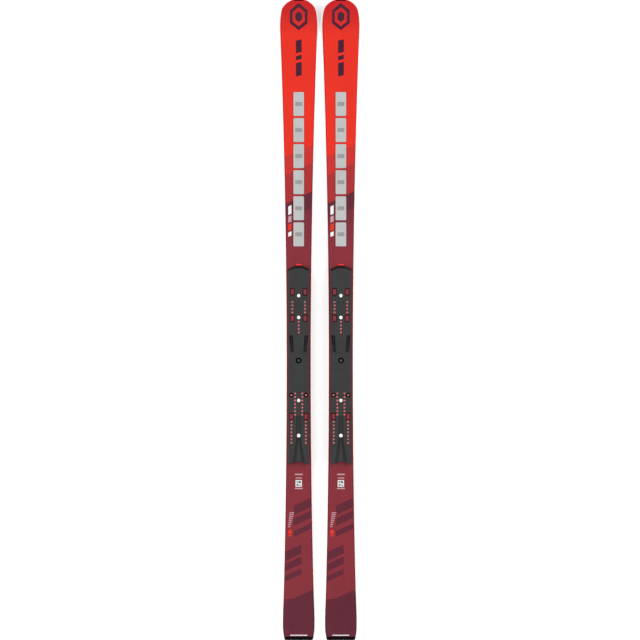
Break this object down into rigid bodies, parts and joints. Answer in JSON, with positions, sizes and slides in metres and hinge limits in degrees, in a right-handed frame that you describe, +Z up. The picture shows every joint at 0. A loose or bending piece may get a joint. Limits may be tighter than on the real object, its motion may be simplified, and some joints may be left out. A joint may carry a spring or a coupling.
{
  "type": "pair of alpine race skis",
  "caption": "Pair of alpine giant-slalom skis with damping modules on the forebody and floating, pre-drilled plates for bindings.",
  "frame": {"origin": "on the floor, midway between the two skis and half way along them", "axes": "+Y along the skis towards the tips, +X to the right, +Z up out of the running base"},
  "size_m": [0.2253, 1.8164, 0.0421],
  "materials": {
    "base": "sintered polyethylene with a stone-ground structure",
    "edge_steel": "ground steel",
    "metal_sheet": "rolled sheet",
    "core_wood": "laminated ash and poplar strips",
    "sidewall": "milled plastic",
    "top_sheet": "printed and clear coated",
    "protector": "moulded",
    "module_pad": "elastomer",
    "module_cover": "satin paint",
    "module_insert": "moulded",
    "plate": "glass-filled, fine moulded grain",
    "screw_insert": "moulded",
    "black_bush": "moulded",
    "guide_block": "moulded",
    "glide_sheet": "slippery sheet",
    "white_cap": "gloss white",
    "black_washer": "gloss black",
    "screw_steel": "blackened steel",
    "bumper": "elastomer"
  },
  "bodies": {
    "left_ski": {"left_running_base": "base", "left_left_edge": "edge_steel", "left_right_edge": "edge_steel", "left_lower_metal_sheet": "metal_sheet", "left_upper_metal_sheet": "metal_sheet", "left_wood_core": "core_wood", "left_left_sidewall": "sidewall", "left_right_sidewall": "sidewall", "left_top_sheet": "top_sheet", "left_tip_protector": "protector", "left_tail_protector": "protector", "left_module_pads": "module_pad", "left_module_plates": "module_cover", "left_module_inserts": "module_insert", "left_centre_bridge": "plate", "left_toe_guide_blocks": "guide_block", "left_heel_guide_blocks": "guide_block", "left_toe_glide_sheet": "glide_sheet", "left_heel_glide_sheet": "glide_sheet", "left_toe_screws": "white_cap", "left_heel_screws": "white_cap", "left_centre_cup_washer": "black_washer", "left_centre_screw": "screw_steel", "left_front_bumper": "bumper"},
    "left_toe_section": {"left_toe_plate": "plate", "left_toe_plate_inserts": "screw_insert"},
    "left_heel_section": {"left_heel_plate": "plate", "left_heel_plate_inserts": "screw_insert", "left_ring_bushes": "black_bush"},
    "right_ski": {"right_running_base": "base", "right_left_edge": "edge_steel", "right_right_edge": "edge_steel", "right_lower_metal_sheet": "metal_sheet", "right_upper_metal_sheet": "metal_sheet", "right_wood_core": "core_wood", "right_left_sidewall": "sidewall", "right_right_sidewall": "sidewall", "right_top_sheet": "top_sheet", "right_tip_protector": "protector", "right_tail_protector": "protector", "right_module_pads": "module_pad", "right_module_plates": "module_cover", "right_module_inserts": "module_insert", "right_centre_bridge": "plate", "right_toe_guide_blocks": "guide_block", "right_heel_guide_blocks": "guide_block", "right_toe_glide_sheet": "glide_sheet", "right_heel_glide_sheet": "glide_sheet", "right_toe_screws": "white_cap", "right_heel_screws": "white_cap", "right_centre_cup_washer": "black_washer", "right_centre_screw": "screw_steel", "right_front_bumper": "bumper"},
    "right_toe_section": {"right_toe_plate": "plate", "right_toe_plate_inserts": "screw_insert"},
    "right_heel_section": {"right_heel_plate": "plate", "right_heel_plate_inserts": "screw_insert", "right_ring_bushes": "black_bush"}
  },
  "joints": [
    {"name": "left_toe_float", "type": "slide", "parent": "left_ski", "child": "left_toe_section", "axis": [0, 1, 0], "range_m": [0, 0.002]},
    {"name": "left_heel_float", "type": "slide", "parent": "left_ski", "child": "left_heel_section", "axis": [0, -1, 0], "range_m": [0, 0.002]},
    {"name": "right_toe_float", "type": "slide", "parent": "right_ski", "child": "right_toe_section", "axis": [0, 1, 0], "range_m": [0, 0.002]},
    {"name": "right_heel_float", "type": "slide", "parent": "right_ski", "child": "right_heel_section", "axis": [0, -1, 0], "range_m": [0, 0.002]},
    {"name": "right_ski_apart", "type": "slide", "parent": "left_ski", "child": "right_ski", "axis": [1, 0, 0], "range_m": [0, 0.3]}
  ]
}
